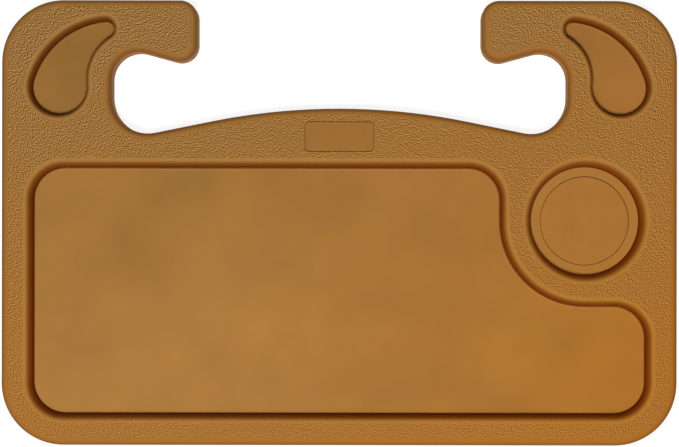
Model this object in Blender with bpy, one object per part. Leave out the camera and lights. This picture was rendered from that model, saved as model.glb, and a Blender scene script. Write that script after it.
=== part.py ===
"""Steering wheel tray: a small desk that hangs on the rim of a car's steering wheel by two hooks.

It lies on its back here, face up. +X runs along its width, +Y towards the hooks, +Z out of its face,
and the origin is the middle of the back face. Two moulded shells meet at a tongue and groove seam. The
front shell carries four recesses with rounded shoulders. Mats and a coaster drop into them and cover
the screws that hold the shells together.

Every outline is a chain of arcs and tangent lines, traced once as points that carry their outward
normals. Moving the points along their normals offsets the outline exactly, so each solid is a loft of
rings of one outline, and all its rings match.
"""

import math

import bmesh
import bpy

MM = 0.001

# The whole tray
TRAY_WIDTH = 425 * MM
TRAY_LENGTH = 280 * MM
TRAY_THICKNESS = 20 * MM
CORNER_RADIUS = 39.2 * MM
FACET = 0.18 * MM

# The arms with their hooks, the notches that take the wheel's rim, and the arched bay between them
ARM_WIDTH = 68.8 * MM
HOOK_DROP = 38.5 * MM
HOOK_RUN = 18.9 * MM
HOOK_TOP_RADIUS = 11 * MM
HOOK_TIP_RADIUS = 11.2 * MM
NOTCH_CEILING = 32.5 * MM
NOTCH_HEIGHT = 51.3 * MM
NOTCH_TOP_RADIUS = 17.3 * MM
NOTCH_BOTTOM_RADIUS = 23 * MM
BAY_RISE = 15.8 * MM
BAY_RUN = 37 * MM

# The shells and their seam
WALL = 2.4 * MM
BACK_WALL = 2.2 * MM
FACE_EDGE = 3.8 * MM
BACK_EDGE = 3 * MM
SEAM = 9 * MM
SEAM_GAP = 0.3 * MM
TONGUE = 1 * MM
TONGUE_HEIGHT = 2 * MM
FIT = 0.3 * MM
OVERRUN = 4 * MM

# The recesses in the face
RECESS_WALL = 2.2 * MM
WALL_LEAN = 0.7 * MM
SHOULDER = 4.3 * MM
BRIDGE = 37 * MM
SIDE_RAIL = 19.4 * MM
BOTTOM_RAIL = 19.7 * MM
RECESS_CORNER = 20.1 * MM
CORNER_SHARE = 0.45
RECESS_DEPTH = 10.5 * MM
CUP_RAIL = 23.5 * MM
CUP_RISE = 0.5 * MM
CUP_RADIUS = 33.9 * MM
CUP_LAND = 19.9 * MM
CUP_SHOULDER = 3.4 * MM
CUP_DEPTH = 10 * MM
POCKET_SHOULDER = 2.4 * MM
POCKET_DEPTH = 10 * MM
POCKET_PLACE_SHARE = 0.517
POCKET_DROP = 54.3 * MM
POCKET_RADIUS = 17 * MM
POCKET_TIP_INSET = 4.1 * MM
POCKET_TIP_DROP = 17.7 * MM
POCKET_TIP_RADIUS = 5.2 * MM
POCKET_OUTER_RADIUS = 53.2 * MM
POCKET_INNER_RADIUS = 32.1 * MM

# The pieces that lie in the recesses
MAT_THICKNESS = 1.2 * MM
MAT_FIT = 0.4 * MM
MAT_EDGE = 0.3 * MM
CUP_LEDGE = 6 * MM
COASTER_THICKNESS = 1.6 * MM
COASTER_EDGE = 0.4 * MM
BADGE_PLACE_SHARE = 0.48
BADGE_WIDTH = 43.7 * MM
BADGE_LENGTH = 19.1 * MM
BADGE_CORNER = 3 * MM
BADGE_DEPTH = 1.4 * MM
BADGE_THICKNESS = 0.7 * MM

# The pen groove in the back
PEN_MARGIN = 45.7 * MM
PEN_WIDTH = 11 * MM
PEN_DEPTH = 5.5 * MM
PEN_ROUND = 3 * MM
PEN_EDGE = 1.5 * MM

# The ribs inside the back shell
RIB = 1.3 * MM
RIB_COLUMNS = 9
RIB_ROWS = 6

# The screws. Their shares run from the left and the bottom of the main recess: the upper row's across
# the part beside the cup, the lower row's across the whole recess and up the part below the cup.
SCREW_RADIUS = 1.5 * MM
SCREW_END = 2.8 * MM
SCREW_POINT = 1 * MM
SCREW_HEAD_RADIUS = 2.8 * MM
SCREW_HEAD = 1.6 * MM
SCREW_SINK = 0.2 * MM
SCREW_FIT = 0.15 * MM
BOSS_RADIUS = 3.8 * MM
PAD_RADIUS = 4.6 * MM
PAD_HEIGHT = 1 * MM
HOLE_END = 0.3 * MM
UPPER_SCREW_SHARES = (0.13, 0.5, 0.87)
UPPER_ROW_SHARE = 0.86
LOWER_SCREW_SHARES = (0.1, 0.5, 0.9)
LOWER_ROW_SHARE = 0.35

HALF_WIDTH = TRAY_WIDTH / 2
HALF_LENGTH = TRAY_LENGTH / 2
NOTCH_SIDE = HALF_WIDTH - ARM_WIDTH
BAY_TOP = HALF_LENGTH - NOTCH_CEILING - NOTCH_HEIGHT + BAY_RISE
RECESS_LEFT = SIDE_RAIL - HALF_WIDTH
RECESS_RIGHT = HALF_WIDTH - SIDE_RAIL
RECESS_BOTTOM = BOTTOM_RAIL - HALF_LENGTH
RECESS_TOP = BAY_TOP - BRIDGE
RECESS_FLOOR = TRAY_THICKNESS - RECESS_DEPTH
CUP_X = HALF_WIDTH - CUP_RAIL - CUP_RADIUS
CUP_Y = RECESS_TOP + CUP_RISE - CUP_RADIUS
CUP_SIDE = CUP_X - CUP_RADIUS - CUP_LAND
CUP_BOTTOM = CUP_Y - CUP_RADIUS - CUP_LAND
CUP_FLOOR = TRAY_THICKNESS - CUP_DEPTH
CUP_SEAT = CUP_FLOOR - COASTER_THICKNESS
COASTER_RADIUS = CUP_RADIUS - CUP_LEDGE
POCKET_X = HALF_WIDTH - POCKET_PLACE_SHARE * ARM_WIDTH
POCKET_Y = HALF_LENGTH - POCKET_DROP
POCKET_FLOOR = TRAY_THICKNESS - POCKET_DEPTH
BADGE_Y = BAY_TOP - BADGE_PLACE_SHARE * BRIDGE
BADGE_FLOOR = TRAY_THICKNESS - BADGE_DEPTH
SEAM_LOW = SEAM - SEAM_GAP / 2
SEAM_HIGH = SEAM + SEAM_GAP / 2
TONGUE_TOP = SEAM + TONGUE_HEIGHT
SCREW_LENGTH = RECESS_FLOOR - SCREW_SINK - SCREW_END
PAD_BOTTOM = RECESS_FLOOR - RECESS_WALL - PAD_HEIGHT
SEAT_BOTTOM = CUP_SEAT - RECESS_WALL - FIT


# Outlines
def trace(arcs):
    """Points of a closed chain of arcs, each point with its outward normal.

    An arc is its centre, its signed radius and the angles of its first and last normals.
    """
    points = []
    for x, y, radius, first, last in arcs:
        turn = last - first
        steps = max(2, math.ceil(abs(turn) * math.sqrt(abs(radius) / (8 * FACET))))
        for step in range(steps + 1):
            angle = first + turn * step / steps
            normal_x = math.cos(angle)
            normal_y = math.sin(angle)
            point = (x + radius * normal_x, y + radius * normal_y, normal_x, normal_y)
            if points and math.dist(points[-1][:2], point[:2]) < FACET:
                continue
            points.append(point)
    if math.dist(points[0][:2], points[-1][:2]) < FACET:
        points.pop()
    return points


def swing(first, last, radius):
    """An arc's last angle: it turns on to the left round material and to the right round a gap."""
    full = 2 * math.pi
    if radius > 0:
        return first + (last - first) % full
    return first - (first - last) % full


def belt(pulleys):
    """The outline that a belt makes round pulleys, which are centres and signed radii.

    A positive radius bulges outwards. A negative one is a gap that the belt passes on the other side.
    """
    normals = []
    for (x, y, radius), (next_x, next_y, next_radius) in zip(pulleys, pulleys[1:] + pulleys[:1]):
        distance = math.hypot(next_x - x, next_y - y)
        heading = math.atan2(next_y - y, next_x - x) + math.asin((radius - next_radius) / distance)
        normals.append(heading - math.pi / 2)
    arcs = []
    for index, (x, y, radius) in enumerate(pulleys):
        first = normals[index - 1]
        arcs.append((x, y, radius, first, swing(first, normals[index], radius)))
    return trace(arcs)


def mirrored(outline):
    """The same outline on the other side of the tray's middle line."""
    return [(-x, y, -normal_x, normal_y) for x, y, normal_x, normal_y in reversed(outline)]


def circle(x, y, radius):
    """A ring of no size, which a profile grows to its radii. The radius here only sets the facets."""
    steps = 4 * math.ceil(math.pi / 2 * math.sqrt(radius / (8 * FACET)))
    angles = [2 * math.pi * step / steps for step in range(steps)]
    return [(x, y, math.cos(angle), math.sin(angle)) for angle in angles]


def rounded_box(x, y, width, length, radius):
    """A rectangle about a centre, with round corners."""
    reach_x = width / 2 - radius
    reach_y = length / 2 - radius
    corners = ((1, -1), (1, 1), (-1, 1), (-1, -1))
    return belt([(x + side_x * reach_x, y + side_y * reach_y, radius) for side_x, side_y in corners])


def meeting(first, first_reach, second, second_reach, side):
    """The point at given distances from two others, on the left of the line through them for side 1."""
    span_x = second[0] - first[0]
    span_y = second[1] - first[1]
    span = math.hypot(span_x, span_y)
    along = (span**2 + first_reach**2 - second_reach**2) / (2 * span)
    across = side * math.sqrt(first_reach**2 - along**2)
    x = first[0] + (along * span_x - across * span_y) / span
    y = first[1] + (along * span_y + across * span_x) / span
    return x, y


def tray_outline():
    """The tray seen from the front: corners, hooks, notches and the arched bay between them."""
    hook_y = HALF_LENGTH - HOOK_DROP + HOOK_TIP_RADIUS
    ceiling_x = NOTCH_SIDE - NOTCH_TOP_RADIUS
    ceiling_y = HALF_LENGTH - NOTCH_CEILING - NOTCH_TOP_RADIUS
    floor_x = NOTCH_SIDE - NOTCH_BOTTOM_RADIUS
    floor_y = HALF_LENGTH - NOTCH_CEILING - NOTCH_HEIGHT + NOTCH_BOTTOM_RADIUS
    # A straight run joins two rounds that bulge opposite ways, so with the sum of their radii it makes
    # a right triangle whose long side joins their centres.
    apart = math.hypot(HOOK_TIP_RADIUS + NOTCH_TOP_RADIUS, HOOK_RUN)
    hook_x = ceiling_x - math.sqrt(apart**2 - (hook_y - ceiling_y) ** 2)
    drop = floor_y - BAY_TOP
    arch = (floor_x**2 + drop**2 - NOTCH_BOTTOM_RADIUS**2 - BAY_RUN**2) / (2 * BAY_RISE)
    right = [
        (HALF_WIDTH - CORNER_RADIUS, CORNER_RADIUS - HALF_LENGTH, CORNER_RADIUS),
        (HALF_WIDTH - CORNER_RADIUS, HALF_LENGTH - CORNER_RADIUS, CORNER_RADIUS),
        (hook_x - HOOK_TIP_RADIUS + HOOK_TOP_RADIUS, HALF_LENGTH - HOOK_TOP_RADIUS, HOOK_TOP_RADIUS),
        (hook_x, hook_y, HOOK_TIP_RADIUS),
        (ceiling_x, ceiling_y, -NOTCH_TOP_RADIUS),
        (floor_x, floor_y, -NOTCH_BOTTOM_RADIUS),
    ]
    left = [(-x, y, radius) for x, y, radius in reversed(right)]
    return belt([*right, (0, BAY_TOP - arch, arch), *left])


def recess_outline():
    """The main recess at its floor: a rectangle whose upper right side goes round the cup's land."""
    low_corner = min(RECESS_CORNER, CORNER_SHARE * (CUP_BOTTOM - RECESS_BOTTOM))
    return belt(
        [
            (RECESS_RIGHT - low_corner, RECESS_BOTTOM + low_corner, low_corner),
            (RECESS_RIGHT - low_corner, CUP_BOTTOM - low_corner, low_corner),
            (CUP_X, CUP_Y, -CUP_RADIUS - CUP_LAND),
            (CUP_SIDE - RECESS_CORNER, RECESS_TOP - RECESS_CORNER, RECESS_CORNER),
            (RECESS_LEFT + RECESS_CORNER, RECESS_TOP - RECESS_CORNER, RECESS_CORNER),
            (RECESS_LEFT + RECESS_CORNER, RECESS_BOTTOM + RECESS_CORNER, RECESS_CORNER),
        ]
    )


def pocket_outline():
    """The right pocket at its floor, a bent drop: a round end and a small tip, joined by two tangent arcs."""
    end = (POCKET_X, POCKET_Y)
    tip = (NOTCH_SIDE + POCKET_TIP_INSET, HALF_LENGTH - POCKET_TIP_DROP)
    outer = meeting(
        end, POCKET_OUTER_RADIUS - POCKET_RADIUS, tip, POCKET_OUTER_RADIUS - POCKET_TIP_RADIUS, 1
    )
    inner = meeting(
        end, POCKET_INNER_RADIUS + POCKET_RADIUS, tip, POCKET_INNER_RADIUS + POCKET_TIP_RADIUS, 1
    )
    outer_end = math.atan2(end[1] - outer[1], end[0] - outer[0])
    outer_tip = math.atan2(tip[1] - outer[1], tip[0] - outer[0])
    inner_end = math.atan2(inner[1] - end[1], inner[0] - end[0])
    inner_tip = math.atan2(inner[1] - tip[1], inner[0] - tip[0])
    return trace(
        [
            (*end, POCKET_RADIUS, inner_end, swing(inner_end, outer_end, POCKET_RADIUS)),
            (*outer, POCKET_OUTER_RADIUS, outer_end, swing(outer_end, outer_tip, POCKET_OUTER_RADIUS)),
            (*tip, POCKET_TIP_RADIUS, outer_tip, swing(outer_tip, inner_tip, POCKET_TIP_RADIUS)),
            (*inner, -POCKET_INNER_RADIUS, inner_tip, swing(inner_tip, inner_end, -POCKET_INNER_RADIUS)),
        ]
    )


def badge_outline():
    return rounded_box(0, BADGE_Y, BADGE_WIDTH, BADGE_LENGTH, BADGE_CORNER)


def pen_outline():
    reach = NOTCH_SIDE - NOTCH_BOTTOM_RADIUS - PEN_MARGIN - PEN_WIDTH / 2
    return belt([(-reach, BADGE_Y, PEN_WIDTH / 2), (reach, BADGE_Y, PEN_WIDTH / 2)])


# Profiles, each a list of how far outside the outline a ring lies and how high it is
def quarter(steps):
    """The sine and cosine of each step of a quarter turn."""
    angles = [math.pi / 2 * step / steps for step in range(steps + 1)]
    return [(math.sin(angle), math.cos(angle)) for angle in angles]


def recess_cut(floor, shoulder):
    """A leaning wall up from the floor, a round shoulder, and straight on out of the face."""
    reach = WALL_LEAN + shoulder
    bend = TRAY_THICKNESS - shoulder
    curve = [(reach - shoulder * cosine, bend + shoulder * sine) for sine, cosine in quarter(4)]
    return [(0, floor), *curve, (reach, TRAY_THICKNESS + OVERRUN)]


def recess_tub(floor, shoulder):
    """The outside of a recess, one wall away from its cut, ending inside the face's own wall."""
    reach = WALL_LEAN + shoulder
    bend = TRAY_THICKNESS - shoulder
    inside = max(shoulder - RECESS_WALL, FIT)
    flare = [(reach - inside * cosine, bend + inside * sine) for sine, cosine in quarter(3)]
    return [(0, floor - RECESS_WALL), (RECESS_WALL, floor), *flare, (reach, TRAY_THICKNESS - WALL / 2)]


def mat_profile(floor):
    """A flat mat with a small bevel round its top, resting just above its floor."""
    bottom = floor + FIT
    top = bottom + MAT_THICKNESS
    return [(-MAT_FIT, bottom), (-MAT_FIT, top - MAT_EDGE), (-MAT_FIT - MAT_EDGE, top)]


# Solids
def loft(mesh, outline, profile, origin):
    """Adds a closed solid whose sides run through the profile's rings."""
    rings = []
    for grow, height in profile:
        ring = []
        for x, y, normal_x, normal_y in outline:
            place = (x + grow * normal_x - origin[0], y + grow * normal_y - origin[1], height - origin[2])
            ring.append(mesh.verts.new(place))
        rings.append(ring)
    for low, high in zip(rings, rings[1:]):
        for index in range(len(outline)):
            mesh.faces.new((low[index - 1], low[index], high[index], high[index - 1]))
    mesh.faces.new(reversed(rings[0]))
    mesh.faces.new(rings[-1])


def solid(name, lofts, origin=(0, 0, 0)):
    """An object made of lofts that stay clear of each other, with its origin where asked."""
    mesh = bmesh.new()
    for outline, profile in lofts:
        loft(mesh, outline, profile, origin)
    data = bpy.data.meshes.new(name)
    mesh.to_mesh(data)
    mesh.free()
    data.shade_smooth()
    data.set_sharp_from_angle(angle=math.radians(30))
    thing = bpy.data.objects.new(name, data)
    thing.location = origin
    bpy.context.scene.collection.objects.link(thing)
    return thing


def guide(thing):
    """Marks a solid that only cuts or joins another one."""
    thing.hide_render = True
    thing.display_type = "WIRE"
    return thing


def combine(target, tool, operation):
    guide(tool)
    modifier = target.modifiers.new(tool.name, "BOOLEAN")
    modifier.operation = operation
    modifier.solver = "EXACT"
    modifier.object = tool


def linear(channel):
    """An sRGB channel from 0 to 255 as the linear value that a shader takes."""
    share = channel / 255
    return share / 12.92 if share <= 0.04045 else ((share + 0.055) / 1.055) ** 2.4


def paint(thing, name, rgb, roughness, metallic=0):
    material = bpy.data.materials.get(name)
    if material is None:
        material = bpy.data.materials.new(name)
        material.use_nodes = True
        shader = material.node_tree.nodes["Principled BSDF"]
        shader.inputs["Base Color"].default_value = (*[linear(channel) for channel in rgb], 1)
        shader.inputs["Roughness"].default_value = roughness
        shader.inputs["Metallic"].default_value = metallic
    thing.data.materials.append(material)


# The pieces
def screw_seats():
    """Each screw's name, its place, and the floor that its head is sunk in."""
    upper_y = RECESS_BOTTOM + UPPER_ROW_SHARE * (RECESS_TOP - RECESS_BOTTOM)
    lower_y = RECESS_BOTTOM + LOWER_ROW_SHARE * (CUP_BOTTOM - RECESS_BOTTOM)
    places = [(RECESS_LEFT + share * (CUP_SIDE - RECESS_LEFT), upper_y) for share in UPPER_SCREW_SHARES]
    places += [(RECESS_LEFT + share * (RECESS_RIGHT - RECESS_LEFT), lower_y) for share in LOWER_SCREW_SHARES]
    seats = [(f"floor_screw_{number}", x, y, RECESS_FLOOR) for number, (x, y) in enumerate(places, 1)]
    seats.append(("left_pocket_screw", -POCKET_X, POCKET_Y, POCKET_FLOOR))
    seats.append(("right_pocket_screw", POCKET_X, POCKET_Y, POCKET_FLOOR))
    return seats


def front_shell(tray, recess, pocket, badge):
    """The face with its recesses, and the upper half of the rim."""
    face_bend = TRAY_THICKNESS - FACE_EDGE
    inside = FACE_EDGE - WALL
    rebate = WALL - TONGUE - FIT
    outside = [(FACE_EDGE * cosine - FACE_EDGE, face_bend + FACE_EDGE * sine) for sine, cosine in quarter(4)]
    ceiling = [(inside * cosine - FACE_EDGE, face_bend + inside * sine) for sine, cosine in quarter(2)]
    shell = solid("front_shell", [(tray, [(0, SEAM_HIGH), *outside])])
    hollow = [(-rebate, SEAM - OVERRUN), (-rebate, TONGUE_TOP + FIT), (-WALL, TONGUE_TOP + FIT), *ceiling]
    combine(shell, solid("front_hollow", [(tray, hollow)]), "DIFFERENCE")

    cup = circle(CUP_X, CUP_Y, CUP_RADIUS)
    cup_tub = [(CUP_RADIUS + grow, height) for grow, height in recess_tub(CUP_FLOOR, CUP_SHOULDER)]
    seat_wall = COASTER_RADIUS + FIT + RECESS_WALL
    seat_tub = [(seat_wall, SEAT_BOTTOM), (seat_wall, CUP_FLOOR - RECESS_WALL / 2)]
    pocket_tub = recess_tub(POCKET_FLOOR, POCKET_SHOULDER)
    badge_tub = [(WALL, BADGE_FLOOR - WALL), (WALL, TRAY_THICKNESS - WALL / 2)]
    tubs = [
        (recess, recess_tub(RECESS_FLOOR, SHOULDER)),
        (cup, cup_tub),
        (pocket, pocket_tub),
        (mirrored(pocket), pocket_tub),
        (badge, badge_tub),
    ]
    combine(shell, solid("recess_tubs", tubs), "UNION")
    pads = [(cup, seat_tub)]
    for _, x, y, floor in screw_seats():
        pad = [(PAD_RADIUS, floor - RECESS_WALL - PAD_HEIGHT), (PAD_RADIUS, floor - RECESS_WALL / 2)]
        pads.append((circle(x, y, PAD_RADIUS), pad))
    combine(shell, solid("screw_pads", pads), "UNION")

    seat_cut = [(COASTER_RADIUS + FIT, CUP_SEAT - FIT), (COASTER_RADIUS + FIT, CUP_FLOOR)]
    well_cut = [(CUP_RADIUS + grow, height) for grow, height in recess_cut(CUP_FLOOR, CUP_SHOULDER)]
    pocket_cut = recess_cut(POCKET_FLOOR, POCKET_SHOULDER)
    cuts = [
        (recess, recess_cut(RECESS_FLOOR, SHOULDER)),
        (cup, [*seat_cut, *well_cut]),
        (pocket, pocket_cut),
        (mirrored(pocket), pocket_cut),
        (badge, [(0, BADGE_FLOOR), (0, TRAY_THICKNESS + OVERRUN)]),
    ]
    combine(shell, solid("recess_cuts", cuts), "DIFFERENCE")
    holes = []
    for _, x, y, floor in screw_seats():
        top = floor - SCREW_SINK
        hole = [
            (SCREW_RADIUS + SCREW_FIT, floor - RECESS_WALL - PAD_HEIGHT - OVERRUN),
            (SCREW_RADIUS + SCREW_FIT, top - SCREW_HEAD),
            (SCREW_HEAD_RADIUS + SCREW_FIT, top),
            (SCREW_HEAD_RADIUS + SCREW_FIT, floor + OVERRUN),
        ]
        holes.append((circle(x, y, SCREW_HEAD_RADIUS), hole))
    combine(shell, solid("screw_holes", holes), "DIFFERENCE")
    paint(shell, "grained tan ABS", (160, 110, 54), 0.5)
    return shell


def back_ribs(shell, tray):
    """A grid of ribs over the inside of the back, ending in the rim's wall and just below the front shell."""
    low = BACK_WALL / 2
    high = min(PAD_BOTTOM, SEAT_BOTTOM) - FIT
    columns = []
    for number in range(1, RIB_COLUMNS + 1):
        x = TRAY_WIDTH * number / (RIB_COLUMNS + 1) - HALF_WIDTH
        columns.append((rounded_box(x, 0, RIB, TRAY_LENGTH, RIB / 4), [(0, low), (0, high)]))
    rows = []
    for number in range(1, RIB_ROWS + 1):
        y = TRAY_LENGTH * number / (RIB_ROWS + 1) - HALF_LENGTH
        rows.append((rounded_box(0, y, TRAY_WIDTH, RIB, RIB / 4), [(0, low), (0, high)]))
    inside = [(-WALL / 2, 0), (-WALL / 2, SEAM)]
    for name, bars in (("rib_columns", columns), ("rib_rows", rows)):
        ribs = solid(name, bars)
        combine(ribs, solid(f"{name}_trim", [(tray, inside)]), "INTERSECT")
        combine(shell, ribs, "UNION")


def back_shell(tray):
    """The flat back with its pen groove, and the lower half of the rim with its tongue."""
    edge = [(BACK_EDGE * sine - BACK_EDGE, BACK_EDGE - BACK_EDGE * cosine) for sine, cosine in quarter(3)]
    step = WALL - TONGUE
    shell = solid("back_shell", [(tray, [*edge, (0, SEAM_LOW), (-step, SEAM_LOW), (-step, TONGUE_TOP)])])
    fillet = BACK_EDGE - WALL
    hollow = [(-BACK_EDGE, BACK_WALL), (-WALL, BACK_WALL + fillet), (-WALL, TONGUE_TOP + OVERRUN)]
    combine(shell, solid("back_hollow", [(tray, hollow)]), "DIFFERENCE")
    back_ribs(shell, tray)

    pen = pen_outline()
    bend = PEN_DEPTH - PEN_ROUND
    wall = RECESS_WALL
    crown = [(PEN_ROUND * cosine - PEN_ROUND, bend + PEN_ROUND * sine) for sine, cosine in quarter(3)]
    roof = [
        ((PEN_ROUND + wall) * cosine - PEN_ROUND, bend + (PEN_ROUND + wall) * sine)
        for sine, cosine in quarter(3)
    ]
    lip = [(PEN_EDGE - PEN_EDGE * sine, PEN_EDGE - PEN_EDGE * cosine) for sine, cosine in quarter(3)]
    bosses = [(pen, [(wall, BACK_WALL / 2), *roof])]
    pilots = [(pen, [(PEN_EDGE, -OVERRUN), *lip, *crown])]
    for _, x, y, floor in screw_seats():
        top = floor - RECESS_WALL - PAD_HEIGHT - FIT
        end = floor - SCREW_SINK - SCREW_LENGTH - HOLE_END
        bosses.append((circle(x, y, BOSS_RADIUS), [(BOSS_RADIUS, BACK_WALL / 2), (BOSS_RADIUS, top)]))
        pilot = [(SCREW_RADIUS + SCREW_FIT, end), (SCREW_RADIUS + SCREW_FIT, top + OVERRUN)]
        pilots.append((circle(x, y, SCREW_HEAD_RADIUS), pilot))
    combine(shell, solid("bosses", bosses), "UNION")
    combine(shell, solid("pen_and_pilots", pilots), "DIFFERENCE")
    paint(shell, "tan ABS", (160, 111, 56), 0.55)
    return shell


def mats(recess, pocket):
    """The loose mats on the floors of the main recess and the two pockets."""
    middle_x = (RECESS_LEFT + RECESS_RIGHT) / 2
    middle_y = (RECESS_BOTTOM + RECESS_TOP) / 2
    floor = mat_profile(RECESS_FLOOR)
    hollow = mat_profile(POCKET_FLOOR)
    made = [
        solid("tray_mat", [(recess, floor)], (middle_x, middle_y, RECESS_FLOOR)),
        solid("right_pocket_mat", [(pocket, hollow)], (POCKET_X, POCKET_Y, POCKET_FLOOR)),
        solid("left_pocket_mat", [(mirrored(pocket), hollow)], (-POCKET_X, POCKET_Y, POCKET_FLOOR)),
    ]
    for mat in made:
        paint(mat, "smooth tan rubber", (172, 122, 62), 0.6)
    return made


def cup_coaster():
    """The round coaster, flush with the cup's floor in its own shallow seat."""
    profile = [
        (COASTER_RADIUS, CUP_SEAT),
        (COASTER_RADIUS, CUP_FLOOR - COASTER_EDGE),
        (COASTER_RADIUS - COASTER_EDGE, CUP_FLOOR),
    ]
    outline = circle(CUP_X, CUP_Y, COASTER_RADIUS)
    coaster = solid("cup_coaster", [(outline, profile)], (CUP_X, CUP_Y, CUP_SEAT))
    paint(coaster, "smooth tan rubber", (172, 122, 62), 0.6)
    return coaster


def badge_plate(badge):
    """The blank plate in its shallow recess on the bridge."""
    bottom = BADGE_FLOOR + FIT
    profile = [(-MAT_FIT, bottom), (-MAT_FIT, bottom + BADGE_THICKNESS)]
    plate = solid("badge_plate", [(badge, profile)], (0, BADGE_Y, BADGE_FLOOR))
    paint(plate, "satin tan ABS", (158, 110, 55), 0.4)
    return plate


def screws():
    """Countersunk screws from the front, through the floors and into the back shell's bosses."""
    made = []
    for name, x, y, floor in screw_seats():
        top = floor - SCREW_SINK
        tip = top - SCREW_LENGTH
        profile = [
            (SCREW_RADIUS - SCREW_POINT, tip),
            (SCREW_RADIUS, tip + SCREW_POINT),
            (SCREW_RADIUS, top - SCREW_HEAD),
            (SCREW_HEAD_RADIUS, top),
        ]
        screw = solid(name, [(circle(x, y, SCREW_HEAD_RADIUS), profile)], (x, y, top))
        paint(screw, "zinc plated steel", (150, 150, 152), 0.35, 1)
        made.append(screw)
    return made


def clear_scene():
    for thing in list(bpy.data.objects):
        bpy.data.objects.remove(thing, do_unlink=True)


def build_tray():
    clear_scene()
    tray = tray_outline()
    recess = recess_outline()
    pocket = pocket_outline()
    badge = badge_outline()
    pieces = [
        front_shell(tray, recess, pocket, badge),
        back_shell(tray),
        *mats(recess, pocket),
        cup_coaster(),
        badge_plate(badge),
        *screws(),
    ]
    root = bpy.data.objects.new("steering_wheel_tray", None)
    bpy.context.scene.collection.objects.link(root)
    for piece in pieces:
        piece.parent = root


build_tray()
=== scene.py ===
# %% [markdown]
# # Steering wheel tray
# A flat tan tray that hangs on the rim of a steering wheel by two hooks. Its solids come from CAD, which
# is fixed: here they are dressed, lit and seen from the photograph's place. The tray is two moulded shells,
# four loose floor pieces, a plate and eight screws, so the pieces that show are modelled again with finer
# rounds and given the finish of the real ones.

# %% Load the frame
import math

import bmesh
import bpy
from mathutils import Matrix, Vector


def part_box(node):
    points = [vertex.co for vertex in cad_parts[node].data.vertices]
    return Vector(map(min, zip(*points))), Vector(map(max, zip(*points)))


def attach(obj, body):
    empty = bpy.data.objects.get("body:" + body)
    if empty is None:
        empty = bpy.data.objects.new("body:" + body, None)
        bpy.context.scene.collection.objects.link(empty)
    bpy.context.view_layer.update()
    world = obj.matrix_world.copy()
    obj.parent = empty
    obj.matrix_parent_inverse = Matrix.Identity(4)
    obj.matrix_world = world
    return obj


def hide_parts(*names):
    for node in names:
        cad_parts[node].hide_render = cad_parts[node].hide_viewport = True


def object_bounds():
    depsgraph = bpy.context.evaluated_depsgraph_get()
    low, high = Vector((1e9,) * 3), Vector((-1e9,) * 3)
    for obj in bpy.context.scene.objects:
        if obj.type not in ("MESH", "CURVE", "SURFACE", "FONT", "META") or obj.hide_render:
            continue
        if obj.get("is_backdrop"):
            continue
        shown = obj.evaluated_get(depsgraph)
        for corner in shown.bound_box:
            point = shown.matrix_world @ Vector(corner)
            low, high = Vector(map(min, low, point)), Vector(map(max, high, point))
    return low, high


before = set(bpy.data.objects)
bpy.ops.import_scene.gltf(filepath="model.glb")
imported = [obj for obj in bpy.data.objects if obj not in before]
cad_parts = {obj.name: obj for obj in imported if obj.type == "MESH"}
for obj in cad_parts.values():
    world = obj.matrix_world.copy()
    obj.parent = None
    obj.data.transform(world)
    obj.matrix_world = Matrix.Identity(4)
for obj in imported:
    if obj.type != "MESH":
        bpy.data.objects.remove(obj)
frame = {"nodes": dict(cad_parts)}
cad_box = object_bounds()
print("nodes:", ", ".join(frame["nodes"]))

# %% [markdown]
# ## The camera
# The photograph looks straight down on the tray from a little over a metre. The walls of the recesses show
# how far: the ones near the tray's ends lean away from the middle as they do in a near view. A long lens
# with a small shift puts the tray where it is in the frame, because turning the camera instead would make
# the sides of the tray converge.

# %% Place the camera
MM = 0.001
IMAGE_WIDTH = 679
IMAGE_HEIGHT = 447
CAMERA_HEIGHT = 1116 * MM
CAMERA_X = 19 * MM
CAMERA_Y = -13 * MM
RIM_HEIGHT = 16.2 * MM
PIXELS_PER_METRE = 1587.6
CENTRE_COLUMN = 339.3
CENTRE_ROW = 223.0
CAMERA_ROLL = 0.0016


def place_camera():
    """Looks straight down, with the lens and shift that put the rim where the photograph has it."""
    focal_pixels = PIXELS_PER_METRE * (CAMERA_HEIGHT - RIM_HEIGHT)
    lens = bpy.data.cameras.new("photograph_camera")
    lens.sensor_fit = "HORIZONTAL"
    lens.lens = focal_pixels * lens.sensor_width / IMAGE_WIDTH
    lens.shift_x = (IMAGE_WIDTH / 2 - CENTRE_COLUMN - PIXELS_PER_METRE * CAMERA_X) / IMAGE_WIDTH
    lens.shift_y = (CENTRE_ROW - IMAGE_HEIGHT / 2 - PIXELS_PER_METRE * CAMERA_Y) / IMAGE_WIDTH
    camera = bpy.data.objects.new("photograph_camera", lens)
    camera.location = (CAMERA_X, CAMERA_Y, CAMERA_HEIGHT)
    camera.rotation_euler = (0, 0, CAMERA_ROLL)
    bpy.context.scene.collection.objects.link(camera)
    bpy.context.scene.camera = camera
    print(f"camera: lens {lens.lens:.1f} mm, shift {lens.shift_x:.4f}, {lens.shift_y:.4f}")


place_camera()

# %% [markdown]
# ## Colours and shader nodes
# Colours are written as sRGB hex values, as a colour picker shows them, and one function turns them to the
# linear values that shaders take. Another adds one node with its settings and links, so that every material
# below reads as a short list of nodes. Some nodes have several sockets of one name, so a socket can also be
# given by its number after an underscore.


# %% Colour and node helpers
def colour(hex_value):
    """An sRGB hex colour as the linear RGBA value that a shader takes."""
    channels = [int(hex_value[start : start + 2], 16) / 255 for start in (1, 3, 5)]
    linear = [share / 12.92 if share <= 0.04045 else ((share + 0.055) / 1.055) ** 2.4 for share in channels]
    return (*linear, 1)


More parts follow.
